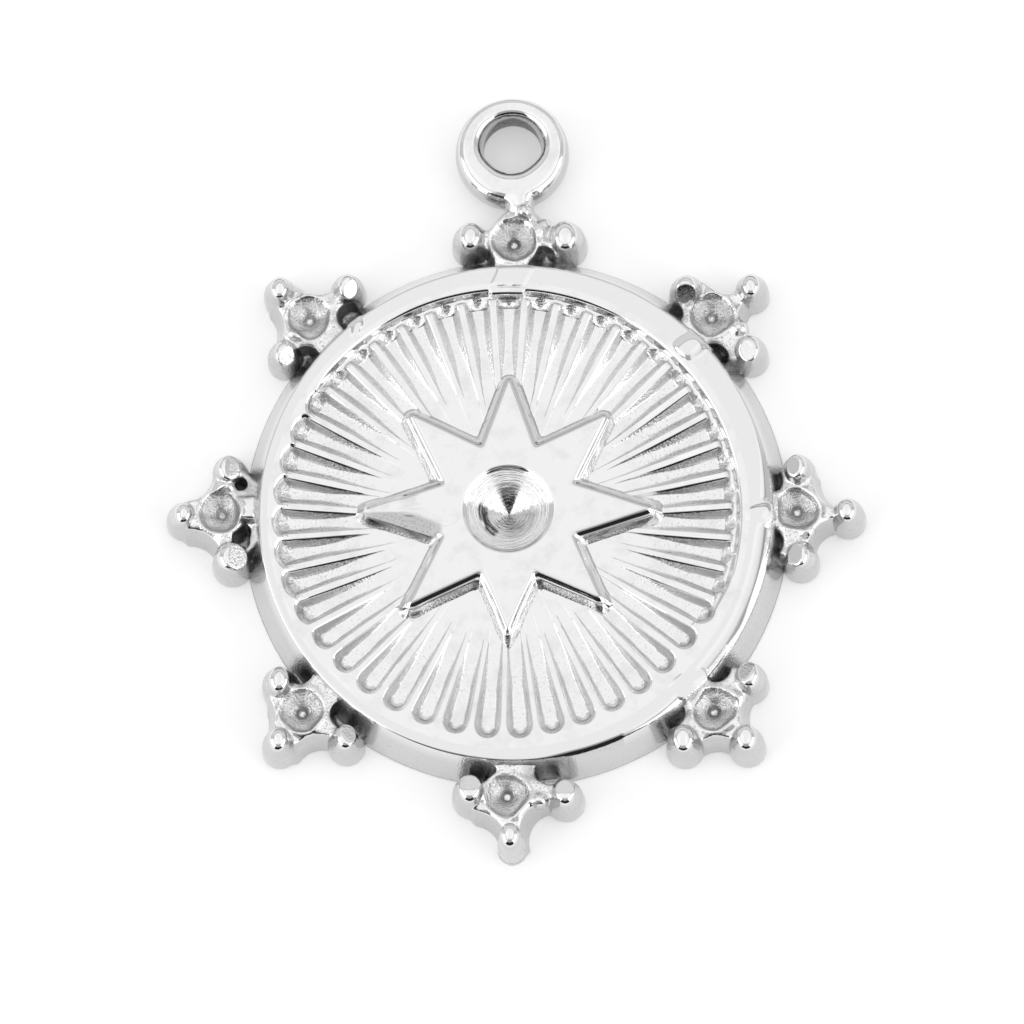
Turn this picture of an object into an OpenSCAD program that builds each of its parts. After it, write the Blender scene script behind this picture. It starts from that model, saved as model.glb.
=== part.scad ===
// Round sunburst charm with an eight-pointed star, cast in one piece with its hanging loop.
// The flat back lies at z = 0, the face looks along +Z and the loop is at +Y.
// Bearings run clockwise from the loop, seen from the face.

/* [Disc] */
// Radius of the flat top of the rim, out to its outer edge
disc_top_r = 8.33; // [8:0.01:8.5]
// Radius of the disc at the foot of its sloping side
disc_base_r = 9; // [8.8:0.01:9.1]
// Height of the rim's top above the flat back
rim_z = 1.45; // [1.4:0.01:1.6]
// Softened edge between the rim's top and the side
rim_edge = 0.1; // [0.04:0.01:0.2]
// Distance that the disc sits off the star's centre, to the right
disc_shift = 0.2; // [0:0.01:0.3]

/* [Sunburst] */
// Number of raised rays between the star and the rim
ray_count = 43; // [36:1:46]
// Bearing of the first ray
ray_bearing = 4.5; // [0:0.1:8]
// Height of the sunken floor between the rays
floor_z = 0.93; // [0.85:0.01:1]
// Height of the rays' tops where they meet the rim
ray_z = 1.31; // [1.2:0.01:1.35]
// Radius at which the rays come up out of the floor
ray_foot_r = 3.6; // [3.4:0.05:4.6]
// Radius of the rim's inner wall between the grooves
recess_r = 7.58; // [7.5:0.01:7.7]
// Width of a ray's flat top at the rim
ray_top_w = 0.19; // [0.14:0.01:0.3]
// Width of a ray's flat top at its foot
ray_foot_w = 0.16; // [0.1:0.01:0.2]
// Sideways run of a ray's walls for each millimetre of height
ray_draft = 0.8; // [0.5:0.01:0.9]
// Sideways run of the sunken field's wall for each millimetre of height
wall_draft = 0.63; // [0.5:0.01:0.68]
// Distance that the sunburst sits off the star's centre, to the left
burst_left = 0.07; // [0:0.01:0.15]
// Distance that the sunburst sits off the star's centre, away from the loop
burst_down = 0.12; // [0:0.01:0.15]

/* [Star] */
// Height of the star's flat top
star_z = 1.52; // [1.48:0.01:1.7]
// Radius of the eight valleys between the star's arms
star_valley_r = 2.28; // [2:0.01:2.5]
// Sideways run of the star's walls for each millimetre of height
star_draft = 0.55; // [0.4:0.01:0.65]
// Radius of the stone seat drilled in the star's centre
centre_seat_r = 1.49; // [1.2:0.01:1.6]
// Depth of the centre seat, down to its drill point
centre_seat_depth = 0.88; // [0.6:0.01:1]

/* [Stone settings] */
// Distance of each small stone seat from the centre
setting_r = 9.45; // [9.4:0.01:9.6]
// Height of a setting's body
setting_z = 1.25; // [1.1:0.01:1.35]
// Radius of a small stone seat
seat_r = 0.68; // [0.55:0.01:0.72]
// Depth of a small stone seat, down to its drill point
seat_depth = 0.42; // [0.3:0.01:0.6]
// Thickness of metal left round a small seat
seat_wall = 0.22; // [0.16:0.01:0.3]
// Radius of the arches between the prongs
arch_r = 1.25; // [1:0.01:1.6]
// Height of the wider foot of a setting's body
foot_z = 0.6; // [0.45:0.01:0.7]
// Distance that the foot stands out from the body's arches
foot_out = 0.3; // [0.1:0.01:0.35]
// Radius of a prong at the back of the charm
prong_base_r = 0.57; // [0.5:0.01:0.6]
// Radius of a prong half way up
prong_mid_r = 0.5; // [0.46:0.01:0.54]
// Radius of a prong where its rounded tip begins
prong_tip_r = 0.36; // [0.3:0.01:0.42]
// Height of an ordinary prong
prong_z = 1.9; // [1.7:0.01:2.1]

/* [Loop] */
// Radius of the hole in the hanging loop
loop_hole_r = 1; // [0.9:0.01:1.1]
// Distance that the hole sits above the loop's centre
loop_hole_rise = 0.1; // [0:0.01:0.15]
// Outer radius of the hanging loop
loop_outer_r = 1.82; // [1.75:0.01:1.9]
// Thickness of the hanging loop, from back to face
loop_z = 1.5; // [1.3:0.01:1.6]
// Distance from the star's centre up to the loop's centre
loop_y = 12.54; // [12.45:0.01:12.6]
// Distance that the loop sits to the right of the centre line
loop_x = 0.08; // [0:0.01:0.2]

/* [Hidden] */
$fn = 64;

// Depth to which raised work is rooted in the metal below it
root = 0.12;
// Height of the tools that cut right through
cut_h = 4;
ray_pitch = 360 / ray_count;
// Each groove ends in a scoop centred this far out, with this radius at the floor
scoop_y = 7.25;
scoop_floor_r = 0.2;
// The star's arms: their pitch, rounding at the tip and the angle of a flank to the arm
arm_pitch = 45;
arm_tip_round = 0.06;
arm_mean_r = 4.45;
arm_flank = atan2(
    star_valley_r * sin(arm_pitch / 2),
    arm_mean_r - star_valley_r * cos(arm_pitch / 2)
);
// Points round each tip, and how far a valley moves out for each millimetre the walls do
tip_steps = 5;
valley_spread = 1 / sin(arm_pitch / 2 + arm_flank);
// Hollow on each side of a setting's neck, closed at the back
crevice_r = 0.5;
crevice_floor_z = 0.4;
neck_half_w = 0.55;
// Size of the softened edges of the loop, larger at the back
loop_soft = 0.16;
loop_back_soft = 0.32;
// Centre of the stalk under the loop, half its width at the waist and its height
stalk_x = 0.46;
stalk_half_w = 0.46;
stalk_waist_y = 10.34;
stalk_z = loop_z - loop_soft;

// Star arms from the loop's own, clockwise: [top radius of the tip, extra reach of its foot]
ARM_TIP = 0;
ARM_FOOT = 1;
arms = [
    [4.42, 0.00],
    [4.45, 0.00],
    [4.60, 0.00],
    [4.24, 0.05],
    [4.02, 0.30],
    [4.44, 0.00],
    [4.55, 0.00],
    [4.54, 0.00]
];

// Prongs of each setting, clockwise from the loop's own:
// [left prong, outer prong, right prong, outer prong's height], prongs as [across, outward]
LEFT = 0;
OUTER = 1;
RIGHT = 2;
OUTER_Z = 3;
settings = [
    [[-1.24, 9.50], [0.42, 10.60], [1.86, 9.45], 1.25],
    [[-1.18, 9.50], [0.30, 11.05], [1.78, 9.50], 1.9],
    [[-1.35, 9.53], [0.15, 11.14], [1.60, 9.58], 1.9],
    [[-1.55, 9.57], [0.00, 10.98], [1.44, 9.56], 1.9],
    [[-1.88, 9.52], [-0.16, 11.02], [1.18, 9.40], 2.2],
    [[-1.70, 9.15], [-0.24, 10.76], [1.20, 9.35], 1.9],
    [[-1.58, 9.13], [-0.10, 10.80], [1.46, 9.24], 1.5],
    [[-1.47, 9.17], [-0.04, 10.85], [1.62, 9.33], 1.9]
];

// Flattened inner prongs on the rim: [bearing, distance from the centre, radius, top height]
NUB_BEARING = 0;
NUB_R = 1;
NUB_SIZE = 2;
NUB_Z = 3;
nubs = [
    [46.6, 8.10, 0.56, 1.64],
    [90.9, 8.05, 0.42, 1.53],
    [135.5, 8.10, 0.40, 1.55],
    [320.6, 8.15, 0.36, 1.54]
];

function unit(v) = v / norm(v);
function ray_top(y) = floor_z + (ray_z - floor_z) * (y - ray_foot_r) / (recess_r - ray_foot_r);
function ray_half(y) = ray_foot_w / 2
    + (ray_top_w - ray_foot_w) / 2 * (y - ray_foot_r) / (recess_r - ray_foot_r);

// Four corners across a ray at distance y from the centre, from its left foot over the top
function ray_section(y) =
    let (z0 = floor_z - root, z1 = ray_top(y), w = ray_half(y), run = (z1 - z0) * ray_draft)
    [[-w - run, y, z0], [-w, y, z1], [w, y, z1], [w + run, y, z0]];

// Ring of the star at height z, its walls moved out by grow: points round each tip and one
// in the valley after it; foot is the share of each arm's extra reach
function star_ring(z, grow, foot) = [
    for (i = [0:7])
        for (j = [0:tip_steps])
            let (
                a = i * arm_pitch,
                mid = a + arm_pitch / 2,
                tip = arms[i][ARM_TIP] - arm_tip_round + arms[i][ARM_FOOT] * foot,
                e = grow + arm_tip_round,
                turn = a + (90 - arm_flank) * (2 * j / (tip_steps - 1) - 1),
                valley = star_valley_r + grow * valley_spread
            )
            j < tip_steps
                ? [tip * sin(a) + e * sin(turn), tip * cos(a) + e * cos(turn), z]
                : [valley * sin(mid), valley * cos(mid), z]
];

// A closed solid through rings of points that run clockwise seen from the face, lowest first
module lofted(rings) {
    n = len(rings[0]);
    last = len(rings) - 1;
    sides = [
        for (k = [0:last - 1])
            for (i = [0:n - 1])
                let (a = k * n + i, b = k * n + (i + 1) % n)
                each [[a, b, b + n], [a, b + n, a + n]]
    ];
    bottom = [for (i = [0:n - 1]) n - 1 - i];
    top = [for (i = [0:n - 1]) last * n + i];
    polyhedron(points = [for (ring = rings) each ring], faces = concat(sides, [bottom, top]));
}

// Turns its children so that +Y points along the bearing
module at_bearing(bearing) {
    rotate([0, 0, -bearing])
        children();
}

// Moves its children from the star's centre to the sunburst's
module on_burst() {
    translate([-burst_left, -burst_down, 0])
        children();
}

module disc() {
    translate([disc_shift, 0, 0])
        rotate_extrude($fn = 128)
            polygon([
                [0, 0],
                [disc_base_r - rim_edge, 0],
                [disc_base_r, rim_edge],
                [disc_top_r + rim_edge, rim_z - rim_edge],
                [disc_top_r, rim_z],
                [0, rim_z]
            ]);
}

// The sunken field, with the rounded end of each groove cut into its wall
module recess() {
    h = rim_z + root - floor_z;
    wall_r = recess_r - (rim_z - floor_z) * wall_draft;
    translate([0, 0, floor_z]) {
        cylinder(h = h, r1 = wall_r, r2 = wall_r + h * wall_draft, $fn = 128);
        for (k = [0:ray_count - 1])
            at_bearing(ray_bearing + (k + 0.5) * ray_pitch)
                translate([0, scoop_y, 0])
                    cylinder(h = h, r1 = scoop_floor_r, r2 = scoop_floor_r + h * wall_draft, $fn = 24);
    }
}

module ray() {
    inner = ray_section(ray_foot_r - root);
    outer = ray_section(recess_r + 2 * root);
    polyhedron(
        points = concat(inner, outer),
        faces = [[0, 1, 2, 3], [7, 6, 5, 4], [0, 4, 5, 1], [1, 5, 6, 2], [2, 6, 7, 3], [3, 7, 4, 0]]
    );
}

module star() {
    z0 = floor_z - root;
    lofted([
        star_ring(z0, (star_z - z0) * star_draft, 1),
        star_ring(star_z - rim_edge / 2, rim_edge / 2 * star_draft, 0),
        star_ring(star_z, -rim_edge / 4, 0)
    ]);
}

module centre_seat() {
    translate([0, 0, star_z - centre_seat_depth])
        cylinder(h = centre_seat_depth * 2, r1 = 0, r2 = centre_seat_r * 2);
}

// An upright prong with a rounded tip, standing at [across, outward]
module prong(at, z) {
    shoulder = z - prong_tip_r * 0.6;
    translate([at[0], at[1], 0])
        rotate_extrude($fn = 48)
            polygon([
                [0, 0],
                [prong_base_r, 0],
                [prong_mid_r, z * 0.52],
                [prong_tip_r, shoulder],
                [prong_tip_r * 0.62, z - prong_tip_r * 0.17],
                [0, z]
            ]);
}

// The arch between two prongs, which leaves a wall of metal round the seat and a wider foot
module arch(a, b) {
    seat = [0, setting_r];
    away = unit((a + b) / 2 - seat);
    middle = seat_r + seat_wall + arch_r;
    translate(concat(seat + away * middle, foot_z))
        cylinder(h = cut_h, r = arch_r);
    translate(concat(seat + away * (middle + foot_out), -cut_h / 2))
        cylinder(h = cut_h, r = arch_r);
}

module crevice(side) {
    translate([side * (neck_half_w + crevice_r), disc_base_r - crevice_r, crevice_floor_z])
        cylinder(h = cut_h, r = crevice_r);
}

module setting(i) {
    row = settings[i];
    neck = neck_half_w + crevice_r * 0.8;
    inner_y = disc_top_r - root;
    at_bearing(i * arm_pitch) {
        difference() {
            linear_extrude(setting_z)
                polygon([
                    row[LEFT],
                    row[OUTER],
                    row[RIGHT],
                    [neck, inner_y],
                    [-neck, inner_y]
                ]);
            arch(row[LEFT], row[OUTER]);
            arch(row[RIGHT], row[OUTER]);
            crevice(-1);
            crevice(1);
        }
        prong(row[LEFT], prong_z);
        prong(row[RIGHT], prong_z);
        if (i > 0)
            prong(row[OUTER], row[OUTER_Z]);
    }
}

module seat(i) {
    at_bearing(i * arm_pitch)
        translate([0, setting_r, setting_z - seat_depth])
            cylinder(h = seat_depth * 2, r1 = 0, r2 = seat_r * 2);
}

module nub(row) {
    r = row[NUB_SIZE];
    z = row[NUB_Z];
    at_bearing(row[NUB_BEARING])
        translate([0, row[NUB_R], 0])
            rotate_extrude($fn = 48)
                polygon([
                    [0, rim_z - 3 * root],
                    [r, rim_z - 3 * root],
                    [r, rim_z - root / 4],
                    [r * 0.72, z - root / 4],
                    [0, z]
                ]);
}

module loop_body() {
    translate([loop_x, loop_y, 0])
        rotate_extrude($fn = 96)
            polygon([
                [0, 0],
                [loop_outer_r - loop_back_soft, 0],
                [loop_outer_r, loop_back_soft * 1.5],
                [loop_outer_r, loop_z - loop_soft * 1.6],
                [loop_outer_r - loop_soft, loop_z],
                [0, loop_z]
            ]);
}

// The loop's hole, with its softened edges at the back and the face
module loop_hole() {
    mouth_r = loop_hole_r + loop_soft * 1.1;
    translate([loop_x, loop_y + loop_hole_rise, 0])
        rotate_extrude($fn = 96)
            polygon([
                [0, -root],
                [mouth_r + root * 1.1, -root],
                [loop_hole_r, loop_soft],
                [loop_hole_r, loop_z - loop_soft],
                [mouth_r + root * 1.1, loop_z + root],
                [0, loop_z + root]
            ]);
}

// The crooked stalk of metal that joins the loop to the setting below it
module loop_neck() {
    top_y = loop_y - loop_outer_r + 2 * root;
    foot_y = setting_r + 3 * root;
    linear_extrude(stalk_z)
        polygon([
            [stalk_x - 1.8 * stalk_half_w, top_y],
            [stalk_x - stalk_half_w, stalk_waist_y + root],
            [stalk_x - stalk_half_w, stalk_waist_y - root],
            [stalk_x - 1.6 * stalk_half_w, foot_y],
            [stalk_x + 1.6 * stalk_half_w, foot_y],
            [stalk_x + stalk_half_w, stalk_waist_y - root],
            [stalk_x + stalk_half_w, stalk_waist_y + root],
            [stalk_x + 1.6 * stalk_half_w, top_y]
        ]);
}

module charm_casting() {
    color("silver")
        difference() {
            union() {
                difference() {
                    disc();
                    on_burst()
                        recess();
                }
                on_burst()
                    for (k = [0:ray_count - 1])
                        at_bearing(ray_bearing + k * ray_pitch)
                            ray();
                star();
                for (i = [0:7])
                    setting(i);
                for (row = nubs)
                    nub(row);
                loop_body();
                loop_neck();
            }
            loop_hole();
            centre_seat();
            for (i = [0:7])
                seat(i);
        }
}

charm_casting();
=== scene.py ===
"""Sunburst charm, a plated brass casting, with the studio and camera of its photograph.

Sizes in the classes are in millimetres, and a finished piece's mesh is in metres.
The charm lies with its flat back on the floor, its face up and its loop towards +Y.
Bearings run clockwise from the loop, in degrees, seen from the face.
"""
import logging
import math
from dataclasses import dataclass, field
from enum import Enum
from functools import partial
from typing import Callable, Sequence

import bmesh
import bpy
import numpy as np
from bmesh.types import BMesh
from bpy.types import ID, Material, Mesh, NodeSocket, NodeTree, Object, World
from mathutils import Matrix, Vector


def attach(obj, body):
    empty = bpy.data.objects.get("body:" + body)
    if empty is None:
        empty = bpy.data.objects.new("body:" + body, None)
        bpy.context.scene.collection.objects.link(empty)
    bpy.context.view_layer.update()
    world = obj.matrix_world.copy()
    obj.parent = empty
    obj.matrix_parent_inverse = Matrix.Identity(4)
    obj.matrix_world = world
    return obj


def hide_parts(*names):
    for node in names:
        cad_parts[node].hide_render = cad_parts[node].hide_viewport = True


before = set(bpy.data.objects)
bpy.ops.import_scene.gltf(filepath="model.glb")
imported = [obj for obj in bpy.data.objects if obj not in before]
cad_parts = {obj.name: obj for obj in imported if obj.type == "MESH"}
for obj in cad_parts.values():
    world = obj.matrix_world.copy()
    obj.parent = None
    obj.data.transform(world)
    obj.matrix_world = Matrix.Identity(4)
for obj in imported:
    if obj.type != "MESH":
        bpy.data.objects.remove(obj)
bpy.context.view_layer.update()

log = logging.getLogger("charm")

MM = 0.001
BODY = "root"
NODE = "charm_casting"
PITTED = "pitted"
TURNED = "turned"
# Painted shade and painted dark reflections, stored at each point and mixed into the plate's colour
PAINTED_SHADE = "painted_shade"
ARM_STEP = 45.0
SIDE_SHIFT = 0.2
WELD_GAP = 1e-4
CONE_SIDES = 48
LATHE_SIDES = 32
NOISE_SIDE = 64

Array = np.ndarray
Number = float | Array
Point = tuple[float, float, float]
Section = Sequence[tuple[float, float]]


class Bearing(Enum):
    """Bearings of the eight settings and star arms, clockwise from the loop."""

    N = 0
    NE = 45
    E = 90
    SE = 135
    S = 180
    SW = 225
    W = 270
    NW = 315


# Number helpers


def soft_max(a: Array, b: Array, k: float) -> Array:
    """The larger of two heights, with a corner rounded over a difference of k."""
    h = np.maximum(k - np.abs(a - b), 0) / k
    return np.maximum(a, b) + h * h * k / 4


def soft_min(a: Array, b: Array, k: float) -> Array:
    """The smaller of two heights, with a corner rounded over a difference of k."""
    return -soft_max(-np.asarray(a), -np.asarray(b), k)


def ramp(low: float, high: float, x: Array) -> Array:
    """A smooth step from 0 at low to 1 at high, which may be the smaller of the two."""
    t = np.clip((np.asarray(x, float) - low) / (high - low), 0, 1)
    return t * t * (3 - 2 * t)


def window(start: float, full: float, fade: float, end: float, x: Array) -> Array:
    """A rise from 0 at start to 1 at full, and a fall from 1 at fade to 0 at end."""
    return ramp(start, full, x) * ramp(end, fade, x)


def highest(*values: Array) -> Array:
    """The largest of several values at each point."""
    return np.maximum.reduce(np.broadcast_arrays(*values))


@dataclass(frozen=True)
class Noise:
    """Smooth noise over a plane, which goes up to a height and varies over a size."""

    height: float
    size: float
    seed: int

    def over(self, x: Array, y: Array, shift: int = 0) -> Array:
        """The noise at points.

        Args:
            x: First coordinates.
            y: Second coordinates.
            shift: What is added to the seed, so that like pieces differ.

        Returns:
            One value for each point, from minus the height to the height.
        """
        table = np.random.default_rng(self.seed + shift).uniform(-1, 1, (NOISE_SIDE, NOISE_SIDE))
        u, v = np.asarray(x) / self.size, np.asarray(y) / self.size
        i, j = np.floor(u).astype(int), np.floor(v).astype(int)
        s, t = ramp(0, 1, u - i), ramp(0, 1, v - j)
        i0, i1, j0, j1 = (step % NOISE_SIDE for step in (i, i + 1, j, j + 1))
        near = table[i0, j0] * (1 - t) + table[i0, j1] * t
        far = table[i1, j0] * (1 - t) + table[i1, j1] * t
        return self.height * (near * (1 - s) + far * s)


def turn_apart(a: Array, b: float) -> Array:
    """Signed difference between bearings, from -180 to 180 degrees."""
    return (np.asarray(a) - b + 180) % 360 - 180


def from_arm(bearing: Array) -> Array:
    """Signed difference in degrees between bearings and the nearest star arm's."""
    return (bearing + ARM_STEP / 2) % ARM_STEP - ARM_STEP / 2


def at_bearing(across: Number, outward: Number, bearing: float) -> tuple[Number, Number]:
    """The x and y of a point given clockwise across and outward along a bearing."""
    a = math.radians(bearing)
    return across * math.cos(a) + outward * math.sin(a), outward * math.cos(a) - across * math.sin(a)


def seen_from(x: Array, y: Array, at: Sequence[float], way: Sequence[float]) -> tuple[Array, Array]:
    """How far points lie ahead and to either side of a place, looking along a unit vector."""
    off_x, off_y = x - at[0], y - at[1]
    return off_x * way[0] + off_y * way[1], np.abs(off_x * way[1] - off_y * way[0])


def polar(x: Array, y: Array) -> tuple[Array, Array]:
    """Distances from the centre and bearings of points."""
    return np.hypot(x, y), np.degrees(np.arctan2(x, y)) % 360


def signed_power(value: float, power: float) -> float:
    """A value's power with the value's sign, which turns a circle's sine into a rounded square's."""
    return math.copysign(abs(value) ** power, value)


@dataclass(frozen=True)
class Stretch:
    """A stretch of the round: full up to some degrees from its middle, none from some more on."""

    middle: float
    full: float
    none: float

    def share(self, bearing: Array) -> Array:
        """How far the bearings lie in the stretch, from 0 to 1."""
        return ramp(self.none, self.full, np.abs(turn_apart(bearing, self.middle)))


# Mesh helpers


def placed_grid(columns: int, rows: int, place: Callable[[int, int], Point]) -> BMesh:
    """A grid whose points are set out over a surface, welded where they meet.

    Args:
        columns: Faces across.
        rows: Faces up.
        place: Gives the point for a column and row.

    Returns:
        The grid, in millimetres.
    """
    bm = bmesh.new()
    bmesh.ops.create_grid(bm, x_segments=columns, y_segments=rows, size=0.5)
    for v in bm.verts:
        v.co = place(round((v.co.x + 0.5) * columns), round((v.co.y + 0.5) * rows))
    weld(bm)
    return bm


def weld(bm: BMesh) -> None:
    """Joins points that meet and turns all faces outward."""
    bmesh.ops.remove_doubles(bm, verts=bm.verts, dist=WELD_GAP)
    bmesh.ops.dissolve_degenerate(bm, edges=bm.edges, dist=WELD_GAP / 4)
    bmesh.ops.recalc_face_normals(bm, faces=bm.faces)


def close_ends(bm: BMesh) -> None:
    """Closes the open ends of a welded tube."""
    bmesh.ops.holes_fill(bm, edges=[e for e in bm.edges if e.is_boundary], sides=0)
    weld(bm)


def spin_round(bm: BMesh, count: int) -> None:
    """Repeats a sector round the centre until it closes.

    Args:
        bm: The sector.
        count: How many sectors make the round.
    """
    geom, angle = bm.verts[:] + bm.edges[:] + bm.faces[:], math.tau * (count - 1) / count
    bmesh.ops.spin(bm, geom=geom, axis=(0, 0, 1), angle=angle, steps=count - 1, use_duplicate=True)
    weld(bm)


def rows_of(mesh: Mesh, what: str = "co") -> Array:
    """The mesh's points as an array.

    Args:
        mesh: The mesh.
        what: "co" for the points themselves or "normal" for their normals.

    Returns:
        One row for each point.
    """
    values = np.empty(len(mesh.vertices) * 3, np.float32)
    mesh.vertices.foreach_get(what, values)
    return values.reshape(-1, 3).astype(float)


def move_points(mesh: Mesh, co: Array) -> None:
    """Sets the mesh's points, one row each."""
    mesh.vertices.foreach_set("co", co.astype(np.float32).ravel())
    mesh.update()


def mark(mesh: Mesh, name: str, values: Array) -> None:
    """Stores a value from 0 to 1 at each point for the finish to read."""
    layer = mesh.attributes.new(name, "FLOAT", "POINT")
    layer.data.foreach_set("value", np.clip(values, 0, 1).astype(np.float32))


def to_mesh(bm: BMesh, name: str) -> Mesh:
    """Turns a bmesh into a mesh and frees it.

    Args:
        bm: The bmesh.
        name: The mesh's name.

    Returns:
        The mesh.
    """
    mesh = bpy.data.meshes.new(name)
    bm.to_mesh(mesh)
    bm.free()
    return mesh


def linked(name: str, data: ID) -> Object:
    """Puts a mesh or camera into the scene.

    Args:
        name: The object's name.
        data: Its mesh or camera.

    Returns:
        The object.
    """
    obj = bpy.data.objects.new(name, data)
    bpy.context.scene.collection.objects.link(obj)
    return obj


def settled(obj: Object) -> Mesh:
    """The object's mesh with its modifiers applied; the object goes.

    Args:
        obj: A working object.

    Returns:
        The finished mesh.
    """
    graph = bpy.context.evaluated_depsgraph_get()
    mesh = bpy.data.meshes.new_from_object(obj.evaluated_get(graph))
    bpy.data.objects.remove(obj)
    return mesh


def carve(body: Mesh, tools: Sequence[Mesh]) -> Mesh:
    """Cuts tools out of a body.

    Args:
        body: The closed body.
        tools: Closed meshes to take away.

    Returns:
        What is left.
    """
    obj = linked("scratch_body", body)
    helpers = [linked("scratch_tool", t) for t in tools]
    for helper in helpers:
        cut = obj.modifiers.new("cut", "BOOLEAN")
        cut.operation = "DIFFERENCE"
        cut.solver = "EXACT"
        cut.object = helper
    mesh = settled(obj)
    for helper in helpers:
        bpy.data.objects.remove(helper)
    return mesh


def fused(meshes: Sequence[Mesh], name: str, voxel: float, passes: int) -> Mesh:
    """Fuses closed meshes into one skin with softened joints, as cast metal has.

    Args:
        meshes: The closed meshes.
        name: The new mesh's name.
        voxel: Size of the skin's faces.
        passes: How often the skin is smoothed.

    Returns:
        The skin.
    """
    bm = bmesh.new()
    for mesh in meshes:
        bm.from_mesh(mesh)
    obj = linked("scratch_skin", to_mesh(bm, name))
    remesh = obj.modifiers.new("remesh", "REMESH")
    remesh.mode = "VOXEL"
    remesh.voxel_size = voxel
    smooth = obj.modifiers.new("smooth", "SMOOTH")
    smooth.factor = 0.5
    smooth.iterations = passes
    return settled(obj)


def cone(at: Point, r1: float, r2: float, height: float) -> Mesh:
    """An upright cone, frustum or cylinder.

    Args:
        at: Middle of its lower end.
        r1: Lower radius.
        r2: Upper radius.
        height: Its height.

    Returns:
        The closed mesh.
    """
    bm = bmesh.new()
    spot = Matrix.Translation(Vector(at) + Vector((0, 0, height / 2)))
    sizes = {"radius1": r1, "radius2": r2, "depth": height, "matrix": spot}
    bmesh.ops.create_cone(bm, cap_ends=True, segments=CONE_SIDES, **sizes)
    return to_mesh(bm, "cone")


def ball(at: Point, size: Point) -> Mesh:
    """A ball, stretched along each axis.

    Args:
        at: Its middle.
        size: Its radii.

    Returns:
        The closed mesh.
    """
    bm = bmesh.new()
    stretch = Matrix.Translation(at) @ Matrix.Diagonal((*size, 1))
    bmesh.ops.create_icosphere(bm, subdivisions=3, radius=1, matrix=stretch)
    return to_mesh(bm, "ball")


def lathed(at: Point, section: Section) -> Mesh:
    """A solid turned round an upright line.

    Args:
        at: Where the line stands.
        section: Distance from the line and height of each ring, from end to end.

    Returns:
        The closed mesh.
    """

    def place(i: int, j: int) -> Point:
        """The point of a side and ring."""
        r, z = section[j]
        a = math.tau * i / LATHE_SIDES
        return at[0] + r * math.cos(a), at[1] + r * math.sin(a), at[2] + z

    return to_mesh(placed_grid(LATHE_SIDES, len(section) - 1, place), "lathed")


# Finishes


def linear(code: str) -> tuple[float, float, float, float]:
    """Linear colour of an sRGB hex code.

    Args:
        code: The code, such as "#E2E2E2".

    Returns:
        Red, green, blue and 1.
    """

    def channel(c: float) -> float:
        """One channel's linear value."""
        return c / 12.92 if c <= 0.04045 else ((c + 0.055) / 1.055) ** 2.4

    r, g, b = (channel(int(code[i : i + 2], 16) / 255) for i in (1, 3, 5))
    return r, g, b, 1.0


def cleared(block: Material | World) -> NodeTree:
    """Gives a material or world an empty node tree.

    Args:
        block: The material or world.

    Returns:
        Its tree.
    """
    block.use_nodes = True
    block.node_tree.nodes.clear()
    return block.node_tree


def add_node(
    tree: NodeTree, kind: str, values: dict | Sequence = (), output: int | str = 0, **settings: object
) -> NodeSocket | None:
    """Adds a node.

    Args:
        tree: Where it goes.
        kind: Its type, without the ShaderNode that every type starts with.
        values: Values, or sockets to link from, in the inputs' order or by their names or numbers.
        output: The output that is wanted.
        settings: Properties of the node.

    Returns:
        The output, or None where the node has none.
    """
    node = tree.nodes.new("ShaderNode" + kind)
    for key, value in settings.items():
        setattr(node, key, value)
    pairs = values.items() if isinstance(values, dict) else enumerate(values)
    for key, value in pairs:
        if isinstance(value, NodeSocket):
            tree.links.new(value, node.inputs[key])
        else:
            node.inputs[key].default_value = value
    return node.outputs[output] if node.outputs else None


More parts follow.
